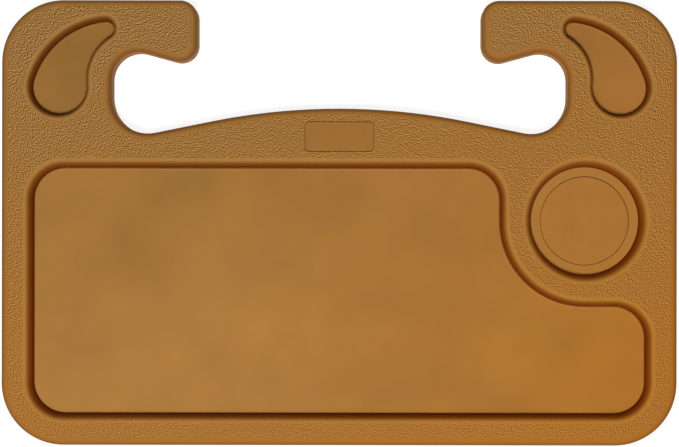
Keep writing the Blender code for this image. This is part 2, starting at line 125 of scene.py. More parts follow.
def set_stops(ramp, stops):
    """Sets a ramp's stops. All are placed before any is coloured, because placing one sorts them again."""
    for _ in stops[2:]:
        ramp.elements.new(0.5)
    for element, (position, _) in zip(ramp.elements, stops):
        element.position = position
    for element, (_, tone) in zip(ramp.elements, stops):
        element.color = colour(tone)


def add_node(tree, kind, settings=None, **inputs):
    """Adds a node. Settings are its properties, or a ramp's stops. Inputs are values or output sockets."""
    node = tree.nodes.new(kind)
    for name, value in (settings or {}).items():
        if name == "stops":
            set_stops(node.color_ramp, value)
        else:
            setattr(node, name, value)
    for name, value in inputs.items():
        label = name.replace("_", " ").strip()
        socket = node.inputs[int(label)] if label.isdigit() else node.inputs[label]
        if isinstance(value, bpy.types.NodeSocket):
            tree.links.new(value, socket)
        else:
            socket.default_value = value
    return node


def new_paint(name):
    """An empty material and its node tree."""
    paint = bpy.data.materials.new(name)
    paint.use_nodes = True
    paint.node_tree.nodes.clear()
    return paint, paint.node_tree


# %% [markdown]
# ## Table and light
# The photograph is a cut-out on white, lit by a broad soft light almost overhead: the floors are bright
# right up to their walls, and the walls themselves fall off to deep brown. So a large softbox hangs over the
# tray, a little towards the lower left, and the world gives only a low fill. The table is white to the
# camera by its own light and still takes a faint shadow of the tray.


# %% Table, world and lamp
TABLE_SIZE = 8.0
TABLE_DROP = 0.4 * MM
TABLE_GLOW = 0.88
FILL_STRENGTH = 0.06
SOFTBOX_POWER = 36.5
SOFTBOX_SIZE = 0.6
SOFTBOX_PLACE = (-0.13, -0.55, 1.9)


def only_for_eyes(tree):
    """1 for camera, glossy and transmission rays, and 0 for the rays that carry light between surfaces."""
    path = add_node(tree, "ShaderNodeLightPath").outputs
    either = {"operation": "MAXIMUM"}
    both = add_node(tree, "ShaderNodeMath", either, _0=path["Is Camera Ray"], _1=path["Is Glossy Ray"])
    every = add_node(tree, "ShaderNodeMath", either, _0=both.outputs[0], _1=path["Is Transmission Ray"])
    return every.outputs[0]


def add_table():
    """A white table just under the tray."""
    bpy.ops.object.select_all(action="DESELECT")
    bpy.ops.mesh.primitive_plane_add(size=TABLE_SIZE, location=(0, 0, -TABLE_DROP))
    table = bpy.context.object
    table.name = "white_table"
    bpy.ops.object.transform_apply(location=True, rotation=True, scale=True)
    paint, tree = new_paint("matt white table")
    body = add_node(tree, "ShaderNodeBsdfDiffuse", Color=colour("#ececec"))
    faint = add_node(tree, "ShaderNodeBsdfDiffuse", Color=colour("#8c8c8c"))
    glow = add_node(tree, "ShaderNodeEmission", Color=colour("#ffffff"), Strength=TABLE_GLOW)
    lit = add_node(tree, "ShaderNodeAddShader", _0=faint.outputs[0], _1=glow.outputs[0])
    eyes = only_for_eyes(tree)
    mix = add_node(tree, "ShaderNodeMixShader", Fac=eyes, _1=body.outputs[0], _2=lit.outputs[0])
    add_node(tree, "ShaderNodeOutputMaterial", Surface=mix.outputs[0])
    table.data.materials.append(paint)
    table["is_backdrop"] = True


def light_scene():
    """A low even fill from the world and one large softbox overhead."""
    scene = bpy.context.scene
    scene.view_settings.view_transform = "Standard"
    world = bpy.data.worlds.new("white studio")
    world.use_nodes = True
    scene.world = world
    tree = world.node_tree
    tree.nodes.clear()
    fill = add_node(tree, "ShaderNodeBackground", Color=colour("#ffffff"), Strength=FILL_STRENGTH)
    seen = add_node(tree, "ShaderNodeBackground", Color=colour("#ffffff"), Strength=1.0)
    eyes = only_for_eyes(tree)
    mix = add_node(tree, "ShaderNodeMixShader", Fac=eyes, _1=fill.outputs[0], _2=seen.outputs[0])
    add_node(tree, "ShaderNodeOutputWorld", Surface=mix.outputs[0])
    lamp = bpy.data.lights.new("overhead_softbox", "AREA")
    lamp.shape = "SQUARE"
    lamp.size = SOFTBOX_SIZE
    lamp.energy = SOFTBOX_POWER
    softbox = bpy.data.objects.new("overhead_softbox", lamp)
    softbox.location = SOFTBOX_PLACE
    x, y, height = SOFTBOX_PLACE
    softbox.rotation_euler = (math.atan2(math.hypot(x, y), height), 0, math.atan2(-x, y) + math.pi)
    scene.collection.objects.link(softbox)


add_table()
light_scene()
print("softbox", SOFTBOX_POWER, "W over a fill of", FILL_STRENGTH)

# %% [markdown]
# ## The tray's sizes
# These are the CAD part's own sizes, written again because this file reads nothing but the imported frame.
# Heights are above the tray's back. After the pieces are made, their box is printed beside the CAD's.

# %% The tray's outline and heights
HALF_WIDTH = 212.5 * MM
HALF_LENGTH = 140 * MM
THICKNESS = 20 * MM
CORNER = 39.2 * MM
HOOK_WIDTH = 68.8 * MM
NOTCH_SIDE = HALF_WIDTH - HOOK_WIDTH
NOTCH_CEILING = HALF_LENGTH - 32.5 * MM
NOTCH_FLOOR = NOTCH_CEILING - 51.3 * MM
NOTCH_TOP = 17.3 * MM
NOTCH_BOTTOM = 23 * MM
HOOK_TOP = 11 * MM
HOOK_TIP = 11.2 * MM
HOOK_END = HALF_LENGTH - 38.5 * MM
HOOK_RUN = 18.9 * MM
BAY_RISE = 15.8 * MM
BAY_RUN = 37 * MM
BAY_TOP = NOTCH_FLOOR + BAY_RISE
SEAM_LOW = 8.85 * MM
SEAM_HIGH = 9.15 * MM
FACE_EDGE = 3.8 * MM
BACK_EDGE = 3 * MM

# %% The recesses and what lies in them
RECESS_X = HALF_WIDTH - 19.4 * MM
BRIDGE = 37 * MM
RECESS_TOP = BAY_TOP - BRIDGE
RECESS_BOTTOM = 19.7 * MM - HALF_LENGTH
RECESS_CORNER = 20.1 * MM
RECESS_FLOOR = 9.5 * MM
CUP_RADIUS = 33.9 * MM
CUP_LAND = CUP_RADIUS + 19.9 * MM
CUP_X = HALF_WIDTH - 23.5 * MM - CUP_RADIUS
CUP_Y = RECESS_TOP + 0.5 * MM - CUP_RADIUS
CUP_FLOOR = 10 * MM
COASTER_RADIUS = CUP_RADIUS - 6 * MM
COASTER_SEAT = 8.4 * MM
POCKET_X = HALF_WIDTH - 0.517 * HOOK_WIDTH
POCKET_Y = HALF_LENGTH - 54.3 * MM
POCKET_RADIUS = 17 * MM
POCKET_TIP_X = NOTCH_SIDE + 4.1 * MM
POCKET_TIP_Y = HALF_LENGTH - 17.7 * MM
POCKET_TIP = 5.2 * MM
POCKET_OUTER = 53.2 * MM
POCKET_INNER = 32.1 * MM
POCKET_FLOOR = 10 * MM
BADGE_WIDTH = 43.7 * MM
BADGE_LENGTH = 19.1 * MM
BADGE_CORNER = 3 * MM
BADGE_Y = BAY_TOP - 0.48 * BRIDGE
BADGE_FLOOR = 18.6 * MM
FIT = 0.3 * MM
MAT_FIT = 0.4 * MM
MAT_THICKNESS = 1.2 * MM

# %% [markdown]
# ## Drawing an outline
# Every outline of this tray is arcs joined by straight tangents, like a belt round pulleys. A maker draws
# that with compass and ruler, and here it is drawn the same way: one vertex is extruded along each straight
# and spun round the centre of each arc. The small belt function only works out where each arc starts and
# ends.


# %% Where the arcs start and end
def belt(pulleys):
    """A belt's arcs. A pulley is a centre and a radius, negative where the belt passes inside."""
    headings = []
    for (x, y, radius), (next_x, next_y, next_radius) in zip(pulleys, pulleys[1:] + pulleys[:1]):
        distance = math.hypot(next_x - x, next_y - y)
        lean = math.asin((radius - next_radius) / distance)
        headings.append(math.atan2(next_y - y, next_x - x) + lean - math.pi / 2)
    arcs = []
    for index, (x, y, radius) in enumerate(pulleys):
        first = headings[index - 1]
        arcs.append((x, y, radius, first, turned(first, headings[index], radius)))
    return arcs


def turned(first, last, radius):
    """The end of an arc's swing: to the left round material, to the right round a gap."""
    full = 2 * math.pi
    if radius > 0:
        return first + (last - first) % full
    return first - (first - last) % full


def on_arc(arc, angle, grow):
    """A point of an arc, moved out of the outline by grow."""
    x, y, radius = arc[:3]
    return x + (radius + grow) * math.cos(angle), y + (radius + grow) * math.sin(angle)


# %% Draw an outline and fill it
SAG = 0.025 * MM
TINY = 0.002 * MM


def one_vertex(name, x, y, height):
    """A new piece that is a single vertex, in edit mode."""
    bpy.ops.object.select_all(action="DESELECT")
    bpy.ops.mesh.primitive_plane_add(size=MM, location=(x, y, height))
    piece = bpy.context.object
    piece.name = name
    piece.data.name = name
    bpy.ops.object.transform_apply(location=True, rotation=True, scale=True)
    bpy.ops.object.mode_set(mode="EDIT")
    bpy.ops.mesh.select_mode(type="VERT")
    bpy.ops.mesh.select_all(action="SELECT")
    bpy.ops.mesh.merge(type="CENTER")
    return piece


def draw(name, arcs, grow, height):
    """Draws a closed outline at a height and fills it with one face, which stays selected in edit mode."""
    here = on_arc(arcs[0], arcs[0][3], grow)
    start = here
    piece = one_vertex(name, *here, height)
    for arc in arcs:
        x, y, radius, first, last = arc
        there = on_arc(arc, first, grow)
        if math.dist(here, there) > TINY:
            step = (there[0] - here[0], there[1] - here[1], 0)
            bpy.ops.mesh.extrude_region_move(TRANSFORM_OT_translate={"value": step})
        steps = max(3, math.ceil(abs(last - first) * math.sqrt(abs(radius + grow) / (8 * SAG))))
        bpy.ops.mesh.spin(steps=steps, angle=first - last, center=(x, y, height), axis=(0, 0, 1))
        here = on_arc(arc, last, grow)
    if math.dist(here, start) > TINY:
        step = (start[0] - here[0], start[1] - here[1], 0)
        bpy.ops.mesh.extrude_region_move(TRANSFORM_OT_translate={"value": step})
    bpy.ops.mesh.select_all(action="SELECT")
    bpy.ops.mesh.remove_doubles(threshold=TINY)
    bpy.ops.mesh.edge_face_add()
    mesh = bmesh.from_edit_mesh(piece.data)
    mesh.normal_update()
    if mesh.faces[:][0].normal.z < 0:
        bpy.ops.mesh.flip_normals()
    return piece


# %% [markdown]
# ## Raising and sinking a face
# With a face selected there are two moves. Extrude lifts it straight, for an upright wall. Inset with a
# depth makes it smaller and lifts or sinks it in one go, and a run of such steps along a quarter circle
# turns an edge into a smooth round. That is how a shoulder would be built by hand when it must follow a free
# outline, where the Bevel tool would have to guess at the tight places.


# %% Extrude, inset and round
ROUND_STEPS = 8
SMOOTH_ANGLE = 35


def quarter_circle(steps):
    """The angles at which each step along a quarter circle starts and ends."""
    angles = [math.pi / 2 * step / steps for step in range(steps + 1)]
    return zip(angles, angles[1:])


def lift(height):
    """Extrudes the selected face straight up, or down for a negative height."""
    bpy.ops.mesh.extrude_region_move(TRANSFORM_OT_translate={"value": (0, 0, height)})


def draw_in(thickness, depth):
    """Insets the selected face and moves it along its own normal."""
    bpy.ops.mesh.inset(thickness=thickness, depth=depth, use_even_offset=True)


def round_over(radius, steps=ROUND_STEPS):
    """Rounds the top edge of what was extruded: steeply up at first, then over and inwards."""
    for low, high in quarter_circle(steps):
        draw_in(radius * (math.cos(low) - math.cos(high)), radius * (math.sin(high) - math.sin(low)))


def round_down(width, drop):
    """Rounds a shoulder down into a recess: inwards at first, then ever more steeply down."""
    for low, high in quarter_circle(ROUND_STEPS):
        draw_in(width * (math.sin(high) - math.sin(low)), -drop * (math.cos(low) - math.cos(high)))


def finish_mesh(piece, angle=SMOOTH_ANGLE):
    """Leaves edit mode and shades the piece smooth but for its real edges."""
    bpy.ops.object.mode_set(mode="OBJECT")
    bpy.ops.object.select_all(action="DESELECT")
    piece.select_set(True)
    bpy.context.view_layer.objects.active = piece
    bpy.ops.object.shade_smooth_by_angle(angle=math.radians(angle))
    bpy.ops.object.modifier_add(type="WEIGHTED_NORMAL")
    weighted = piece.modifiers[-1]
    weighted.keep_sharp = True
    weighted.weight = 100
    bpy.ops.object.modifier_apply(modifier=weighted.name)


def report(piece):
    """Prints a piece's size in millimetres and its number of faces."""
    size = " x ".join(f"{side / MM:.1f}" for side in piece.dimensions)
    print(f"{piece.name}: {size} mm, {len(piece.data.polygons)} faces")


# %% [markdown]
# ## The outlines
# Five outlines make the whole tray: its own, with two hooks, two notches and the arched bay; the main
# recess that bends round the cup's land; the cup's circle; the drop-shaped pocket; and the badge. The left
# half of the tray mirrors the right half, so the left pocket is the right one's arcs mirrored and taken in
# reverse.


# %% The arcs of each outline
def tray_arcs():
    """Corners, hooks, notches and the arched bay. The arch's radius follows from its rise and run."""
    tip_y = HOOK_END + HOOK_TIP
    ceiling = (NOTCH_SIDE - NOTCH_TOP, NOTCH_CEILING - NOTCH_TOP)
    floor = (NOTCH_SIDE - NOTCH_BOTTOM, NOTCH_FLOOR + NOTCH_BOTTOM)
    apart = math.hypot(HOOK_TIP + NOTCH_TOP, HOOK_RUN)
    tip_x = ceiling[0] - math.sqrt(apart**2 - (tip_y - ceiling[1]) ** 2)
    reach = floor[0] ** 2 + (floor[1] - BAY_TOP) ** 2
    arch = (reach - NOTCH_BOTTOM**2 - BAY_RUN**2) / (2 * BAY_RISE)
    right = [
        (HALF_WIDTH - CORNER, CORNER - HALF_LENGTH, CORNER),
        (HALF_WIDTH - CORNER, HALF_LENGTH - CORNER, CORNER),
        (tip_x - HOOK_TIP + HOOK_TOP, HALF_LENGTH - HOOK_TOP, HOOK_TOP),
        (tip_x, tip_y, HOOK_TIP),
        (*ceiling, -NOTCH_TOP),
        (*floor, -NOTCH_BOTTOM),
    ]
    left = [(-x, y, radius) for x, y, radius in reversed(right)]
    return belt([*right, (0, BAY_TOP - arch, arch), *left])


def recess_arcs():
    """A rectangle whose upper right corner bends inwards round the cup's land."""
    side = CUP_X - CUP_LAND
    below = CUP_Y - CUP_LAND
    return belt(
        [
            (RECESS_X - RECESS_CORNER, RECESS_BOTTOM + RECESS_CORNER, RECESS_CORNER),
            (RECESS_X - RECESS_CORNER, below - RECESS_CORNER, RECESS_CORNER),
            (CUP_X, CUP_Y, -CUP_LAND),
            (side - RECESS_CORNER, RECESS_TOP - RECESS_CORNER, RECESS_CORNER),
            (RECESS_CORNER - RECESS_X, RECESS_TOP - RECESS_CORNER, RECESS_CORNER),
            (RECESS_CORNER - RECESS_X, RECESS_BOTTOM + RECESS_CORNER, RECESS_CORNER),
        ]
    )


def circle_arcs(x, y, radius):
    """A full circle as two half turns."""
    return [(x, y, radius, 0, math.pi), (x, y, radius, math.pi, 2 * math.pi)]


def meeting(first, first_reach, second, second_reach):
    """The point at given distances from two others, on the left of the line through them."""
    span = math.dist(first, second)
    along = (span**2 + first_reach**2 - second_reach**2) / (2 * span)
    across = math.sqrt(first_reach**2 - along**2)
    step_x = (second[0] - first[0]) / span
    step_y = (second[1] - first[1]) / span
    return first[0] + along * step_x - across * step_y, first[1] + along * step_y + across * step_x


def heading(start, end):
    """The direction from one point to another, as an angle."""
    return math.atan2(end[1] - start[1], end[0] - start[0])


def pocket_arcs():
    """A bent drop: a round end and a small tip, joined by a wide outer arc and a hollow inner one."""
    end = (POCKET_X, POCKET_Y)
    tip = (POCKET_TIP_X, POCKET_TIP_Y)
    outer = meeting(end, POCKET_OUTER - POCKET_RADIUS, tip, POCKET_OUTER - POCKET_TIP)
    inner = meeting(end, POCKET_INNER + POCKET_RADIUS, tip, POCKET_INNER + POCKET_TIP)
    corners = (heading(end, inner), heading(outer, end), heading(outer, tip), heading(tip, inner))
    arcs = []
    centres = (end, outer, tip, inner)
    radii = (POCKET_RADIUS, POCKET_OUTER, POCKET_TIP, -POCKET_INNER)
    for index, (centre, radius) in enumerate(zip(centres, radii)):
        first = corners[index]
        last = turned(first, corners[(index + 1) % len(corners)], radius)
        arcs.append((*centre, radius, first, last))
    return arcs


def mirrored(arcs):
    """The same outline on the tray's left."""
    return [(-x, y, radius, math.pi - last, math.pi - first) for x, y, radius, first, last in reversed(arcs)]


def badge_arcs():
    """A rectangle with small round corners."""
    reach_x = BADGE_WIDTH / 2 - BADGE_CORNER
    reach_y = BADGE_LENGTH / 2 - BADGE_CORNER
    corners = ((1, -1), (1, 1), (-1, 1), (-1, -1))
    return belt([(x * reach_x, BADGE_Y + y * reach_y, BADGE_CORNER) for x, y in corners])


outlines = {
    "tray": tray_arcs(),
    "recess": recess_arcs(),
    "cup": circle_arcs(CUP_X, CUP_Y, CUP_RADIUS),
    "right_pocket": pocket_arcs(),
    "left_pocket": mirrored(pocket_arcs()),
    "badge": badge_arcs(),
}
print("arcs:", {name: len(arcs) for name, arcs in outlines.items()})

# %% [markdown]
# ## The front shell
# On the real tray this is one moulding: the grained face, rolled over at the rim, with four recesses whose
# walls lean out a little so that the mould lets go, and whose tops are rounded over. Rim, recesses and badge
# seat are made one by one as open skins, joined, and the flat face between them is filled in. Solidify then
# gives the skin the moulding's wall, which no boolean could do as evenly.

# %% Walls of the recesses
LEAN = 0.7 * MM
SHOULDER = 4.3 * MM
CUP_SHOULDER = 4.9 * MM
POCKET_SHOULDER = 3.3 * MM
SHOULDER_DROP = 1.6
MARGIN = 1.1 * MM
BADGE_MARGIN = 0.4 * MM


def sink_recess(name, arcs, shoulder, floor):
    """A recess as an open skin: a level margin, a round shoulder, a leaning wall and a flat floor."""
    piece = draw(name, arcs, LEAN + shoulder + MARGIN, THICKNESS)
    draw_in(MARGIN, 0)
    drop = SHOULDER_DROP * shoulder
    round_down(shoulder, drop)
    draw_in(LEAN, floor + drop - THICKNESS)
    return piece


def rim_skin():
    """The rolled rim above the seam with a level margin, open below and above."""
    piece = draw("rim_skin", outlines["tray"], 0, SEAM_HIGH)
    lift(THICKNESS - FACE_EDGE - SEAM_HIGH)
    round_over(FACE_EDGE)
    draw_in(MARGIN, 0)
    drop_lids(piece)
    return piece


def drop_lids(piece):
    """Deletes the faces that span the whole outline. Lifting a lone face leaves one behind as well."""
    bpy.ops.mesh.select_mode(type="FACE")
    bpy.ops.mesh.select_all(action="DESELECT")
    mesh = bmesh.from_edit_mesh(piece.data)
    for face in mesh.faces:
        face.select = len(face.verts) > 4
    bmesh.update_edit_mesh(piece.data)
    bpy.ops.mesh.delete(type="ONLY_FACE")


def cup_skin():
    """The cup's well, with the shallow seat of its coaster."""
    piece = sink_recess("cup_skin", outlines["cup"], CUP_SHOULDER, CUP_FLOOR)
    draw_in(CUP_RADIUS - COASTER_RADIUS - FIT, 0)
    lift(COASTER_SEAT - FIT - CUP_FLOOR)
    return piece


def badge_skin():
    """The badge's shallow seat, with a narrow margin."""
    piece = draw("badge_skin", outlines["badge"], BADGE_MARGIN, THICKNESS)
    draw_in(BADGE_MARGIN, 0)
    lift(BADGE_FLOOR - THICKNESS)
    return piece


def join(pieces, name):
    """Several pieces as one."""
    bpy.ops.object.mode_set(mode="OBJECT")
    bpy.ops.object.select_all(action="DESELECT")
    for piece in pieces:
        piece.select_set(True)
    bpy.context.view_layer.objects.active = pieces[0]
    bpy.ops.object.join()
    pieces[0].name = name
    pieces[0].data.name = name
    return pieces[0]


# %% Join the skins and fill the face
def leave_edit(piece):
    """Back to object mode, with the piece handed on."""
    bpy.ops.object.mode_set(mode="OBJECT")
    return piece


def mark(piece, name, value):
    """Leaves edit mode and writes one number on every vertex, for the finish to read."""
    leave_edit(piece)
    numbers = piece.data.attributes.new(name, "FLOAT", "POINT")
    numbers.data.foreach_set("value", [value] * len(piece.data.vertices))
    return piece


def front_skin():
    """All the skins as one, with the flat face between them."""
    # The number 'shoulder' picks the painted shade that the finish lays on each skin: 1 for the recess
    # walls, 0 for the rim and the badge's seat.
    recess = sink_recess("recess_skin", outlines["recess"], SHOULDER, RECESS_FLOOR)
    skins = [mark(recess, "shoulder", 1.0), mark(rim_skin(), "shoulder", 0.0)]
    skins.append(mark(cup_skin(), "shoulder", 1.0))
    for side in ("left_pocket", "right_pocket"):
        skin = sink_recess(side, outlines[side], POCKET_SHOULDER, POCKET_FLOOR)
        skins.append(mark(skin, "shoulder", 1.0))
    skins.append(mark(badge_skin(), "shoulder", 0.0))
    shell = join(skins, "moulded_front_shell")
    bpy.ops.object.mode_set(mode="EDIT")
    bpy.ops.mesh.select_mode(type="EDGE")
    bpy.ops.mesh.select_all(action="DESELECT")
    mesh = bmesh.from_edit_mesh(shell.data)
    for edge in mesh.edges:
        at_face = all(abs(vertex.co.z - THICKNESS) < TINY for vertex in edge.verts)
        edge.select = edge.is_boundary and at_face
    bmesh.update_edit_mesh(shell.data)
    bpy.ops.mesh.fill(use_beauty=True)
    bpy.ops.mesh.select_all(action="SELECT")
    bpy.ops.mesh.normals_make_consistent(inside=False)
    mesh = bmesh.from_edit_mesh(shell.data)
    mesh.normal_update()
    highest = max(mesh.faces, key=lambda face: face.calc_area())
    if highest.normal.z < 0:
        bpy.ops.mesh.flip_normals()
    bpy.ops.object.mode_set(mode="OBJECT")
    return shell


front = front_skin()
report(front)

# %% [markdown]
# The skin now gets its wall, inwards, so the outside keeps its size. Small pads go under the floors where a
# screw sits. Then the cutters take out what is left: the rebate inside the rim that takes the back shell's
# tongue, and the countersunk screw holes, which show when the mats are lifted out. A pad, a hole and a screw
# are each modelled once and copied.

# %% Modifiers and copies
WALL = 2.2 * MM
OVERRUN = 4 * MM


def choose(piece):
    """Makes one piece the only selected one, in object mode."""
    bpy.ops.object.select_all(action="DESELECT")
    piece.select_set(True)
    bpy.context.view_layer.objects.active = piece


def apply_modifier(piece, kind, **settings):
    """Adds a modifier, sets it and applies it."""
    choose(piece)
    bpy.ops.object.modifier_add(type=kind)
    modifier = piece.modifiers[-1]
    for name, value in settings.items():
        setattr(modifier, name, value)
    bpy.ops.object.modifier_apply(modifier=modifier.name)


def carve(piece, tools, operation):
    """Joins a piece's tools into one and applies them to it. No two tools of a call overlap."""
    tool = join(tools, "tool")
    apply_modifier(piece, "BOOLEAN", object=tool, operation=operation, solver="EXACT")
    bpy.data.objects.remove(tool)


def copy_to(model, x, y):
    """A copy of a piece modelled at the origin, with its own mesh, moved to its place."""
    twin = model.copy()
    twin.data = model.data.copy()
    bpy.context.scene.collection.objects.link(twin)
    choose(twin)
    bpy.ops.transform.translate(value=(x, y, 0))
    bpy.ops.object.transform_apply(location=True, rotation=True, scale=True)
    return twin


def close_up(piece):
    """Points all faces of a closed piece outwards and leaves edit mode."""
    bpy.ops.mesh.select_all(action="SELECT")
    bpy.ops.mesh.normals_make_consistent(inside=False)
    return leave_edit(piece)


# %% Wall, pads, rebate and screw holes
REBATE = 1.1 * MM
REBATE_TOP = 11.3 * MM
PAD_RADIUS = 4.6 * MM
PAD_HEIGHT = 1 * MM
SCREW_RADIUS = 1.5 * MM
SCREW_HEAD_RADIUS = 2.8 * MM
SCREW_HEAD = 1.6 * MM
SCREW_SINK = 0.2 * MM
SCREW_FIT = 0.15 * MM
SEAT_TOLERANCE = 0.1 * MM


def screw_places(floor):
    """Where the screws sit that are sunk in a floor at this height, by node. A node's top tells."""
    places = {}
    for node in frame["nodes"]:
        low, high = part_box(node)
        if "screw" in node and abs(high.z + SCREW_SINK - floor) < SEAT_TOLERANCE:
            places[node] = ((low.x + high.x) / 2, (low.y + high.y) / 2)
    return places


def rebate_ring():
    """A ring inside the rim, from below the seam to the end of the tongue's groove."""
    ring = draw("rebate_ring", outlines["tray"], -REBATE, SEAM_HIGH - OVERRUN)
    bpy.ops.mesh.inset(thickness=OVERRUN, depth=0, use_even_offset=True)
    bpy.ops.mesh.delete(type="ONLY_FACE")
    bpy.ops.mesh.select_all(action="SELECT")
    lift(REBATE_TOP - SEAM_HIGH + OVERRUN)
    return close_up(ring)


def pad_model(floor):
    """A low round pad on the underside of a floor, sunk into it to half its wall."""
    pad = draw("screw_pad", circle_arcs(0, 0, PAD_RADIUS), 0, floor - WALL - PAD_HEIGHT)
    lift(PAD_HEIGHT + WALL / 2)
    return close_up(pad)


def hole_model(floor):
    """A hole from above the floor downwards: a straight top, a cone for the screw's head, and a shank."""
    hole = draw("screw_hole", circle_arcs(0, 0, SCREW_HEAD_RADIUS + SCREW_FIT), 0, floor + MAT_THICKNESS)
    bpy.ops.mesh.flip_normals()
    lift(-MAT_THICKNESS - SCREW_SINK)
    draw_in(SCREW_HEAD_RADIUS - SCREW_RADIUS, SCREW_HEAD)
    lift(-WALL - PAD_HEIGHT - OVERRUN / 2)
    return close_up(hole)


apply_modifier(front, "SOLIDIFY", thickness=WALL, offset=-1, use_even_offset=True)
for floor in (RECESS_FLOOR, POCKET_FLOOR):
    pad = pad_model(floor)
    hole = hole_model(floor)
    places = screw_places(floor).values()
    carve(front, [copy_to(pad, x, y) for x, y in places], "UNION")
    carve(front, [copy_to(hole, x, y) for x, y in places], "DIFFERENCE")
    bpy.data.objects.remove(pad)
    bpy.data.objects.remove(hole)
carve(front, [rebate_ring()], "DIFFERENCE")
finish_mesh(front)
report(front)

# %% [markdown]
# The finish has to know where the face is level, because only there does it have its grain. Height alone
# can't tell, since the margins beside the rounds are as high as the face. So each vertex gets a number: 1
# where all that meets there is level face, and 0 elsewhere. Across the margins the number runs from one to
# the other, and the grain fades with it.

# %% Mark the level face
LEVEL = 0.9999


def mark_level_face(piece):
    """Writes 1 on each vertex with only level face round it, and 0 on the others."""
    mesh = bmesh.new()
    mesh.from_mesh(piece.data)
    marks = []
    for vertex in mesh.verts:
        high = abs(vertex.co.z - THICKNESS) < TINY
        marks.append(1.0 if high and all(face.normal.z > LEVEL for face in vertex.link_faces) else 0.0)
    mesh.free()
    numbers = piece.data.attributes.new("grain", "FLOAT", "POINT")
    numbers.data.foreach_set("value", marks)
    return sum(marks)


shoulder_marks = [entry.value for entry in front.data.attributes["shoulder"].data]
print("vertices with grain:", int(mark_level_face(front)), "on shoulders:", int(sum(shoulder_marks)))

# %% [markdown]
# ## Mats, coaster and badge
# The floors of the real tray are another material than the face: smooth, and ending in a crisp line just
# inside the walls. Each is a thin sheet with a softened top edge, cut a little smaller than its recess, and
# pressed sheets like these turn up a little along the edge. The same outlines are drawn 0.4 mm smaller,
# lifted, rounded over, and dished by a fifth of a millimetre.

# %% The loose sheets
MAT_EDGE = 0.45 * MM
MAT_LIP = 1.6 * MM
MAT_DISH = 0.22 * MM
COASTER_EDGE = 0.4 * MM
BADGE_THICKNESS = 0.7 * MM
BADGE_EDGE = 0.2 * MM
FINE_STEPS = 4


def dish(width, depth):
    """Slopes the top down from its edge, steeper near the edge and level at the end."""
    for low, high in quarter_circle(FINE_STEPS):
        draw_in(width / FINE_STEPS, -depth * (math.sin(high) - math.sin(low)))


def sheet(name, arcs, fit, bottom, thickness, edge, lip=0):
    """A thin sheet inside an outline, with a soft top edge and perhaps a turned-up lip."""
    piece = draw(name, arcs, -fit, bottom)
    lift(thickness - edge)
    round_over(edge, FINE_STEPS)
    if lip:
        dish(lip, MAT_DISH)
    close_up(piece)
    finish_mesh(piece)
    report(piece)
    return piece


mats = {}
for node, outline, floor in (
    ("tray_mat", "recess", RECESS_FLOOR),
    ("left_pocket_mat", "left_pocket", POCKET_FLOOR),
    ("right_pocket_mat", "right_pocket", POCKET_FLOOR),
):
    name = f"smooth_{node}"
    bottom = floor + FIT
    mats[node] = sheet(name, outlines[outline], MAT_FIT, bottom, MAT_THICKNESS, MAT_EDGE, MAT_LIP)
coaster = sheet(
    "smooth_coaster",
    circle_arcs(CUP_X, CUP_Y, COASTER_RADIUS),
    0,
    COASTER_SEAT,
    CUP_FLOOR - COASTER_SEAT,
    COASTER_EDGE,
)
badge = sheet("bare_badge", outlines["badge"], MAT_FIT, BADGE_FLOOR + FIT, BADGE_THICKNESS, BADGE_EDGE)

# %% [markdown]
# ## The back shell
# The lower moulding is a plain flat tub, and it keeps every rib and boss of its CAD solid. A copy with its
# triangles merged does for the inside: shading it smooth by angle turns its flats into rounds and leaves its
# real edges sharp.

# %% Smooth copy of the back shell
BEND_ANGLE = 40


def smooth_copy(name, node):
    """A copy of a CAD node with its loose triangles merged, shaded smooth but for its real edges."""
    twin = frame["nodes"][node].copy()
    twin.data = frame["nodes"][node].data.copy()
    twin.name = name
    twin.data.name = name
    bpy.context.scene.collection.objects.link(twin)
    choose(twin)
    bpy.ops.object.mode_set(mode="EDIT")
    bpy.ops.mesh.select_all(action="SELECT")
    bpy.ops.mesh.remove_doubles(threshold=TINY)
    finish_mesh(twin, BEND_ANGLE)
    for key in list(twin.keys()):
        del twin[key]
    report(twin)
    return twin


back = smooth_copy("satin_back_shell", "back_shell")

# %% [markdown]
# The rim shows from every side, right under the front shell's. There the CAD's triangles leave flats of up
# to 0.18 mm on the bends of hooks and notches, which no shading hides. So a ring a little proud of the rim
# is first added, to fill up what the flats took off, and a block with the rim's true outside then trims all
# that stands out. Block and ring keep a hair's distance from the shell's own level faces, because a boolean
# is unsure about two faces in one plane.

# %% Give the back shell's rim its true bends
HAIR = 0.005 * MM
SPARE = 0.3 * MM
RING_GAP = 10 * HAIR
RING_WALL = 0.8 * MM
RING_SLOPE = 3.2 * MM
RING_FLOOR = 1 * MM


def rim_block():
    """The rim's true outside as one block: straight from the top down, and rounded over at the back."""
    block = draw("rim_block", outlines["tray"], 0, THICKNESS)
    bpy.ops.mesh.flip_normals()
    lift(BACK_EDGE - THICKNESS)
    round_over(BACK_EDGE - HAIR)
    return close_up(block)


def rim_ring():
    """A ring a little proud of the rim, that stays inside its wall and fills up the flats of its bends."""
    ring = draw("rim_ring", outlines["tray"], SPARE, SEAM_LOW - RING_GAP)
    bpy.ops.mesh.flip_normals()
    lift(-SEAM_LOW - SPARE)
    close_up(ring)
    core = draw("ring_core", outlines["tray"], -RING_WALL, THICKNESS)
    bpy.ops.mesh.flip_normals()
    lift(BACK_EDGE - THICKNESS)
    draw_in(RING_SLOPE, BACK_EDGE - RING_FLOOR)
    lift(-OVERRUN)
    close_up(core)
    carve(ring, [core], "DIFFERENCE")
    return ring


carve(back, [rim_ring()], "UNION")
carve(back, [rim_block()], "INTERSECT")
choose(back)
bpy.ops.object.mode_set(mode="EDIT")
bpy.ops.mesh.select_all(action="SELECT")
bpy.ops.mesh.remove_doubles(threshold=TINY)
finish_mesh(back, BEND_ANGLE)
report(back)

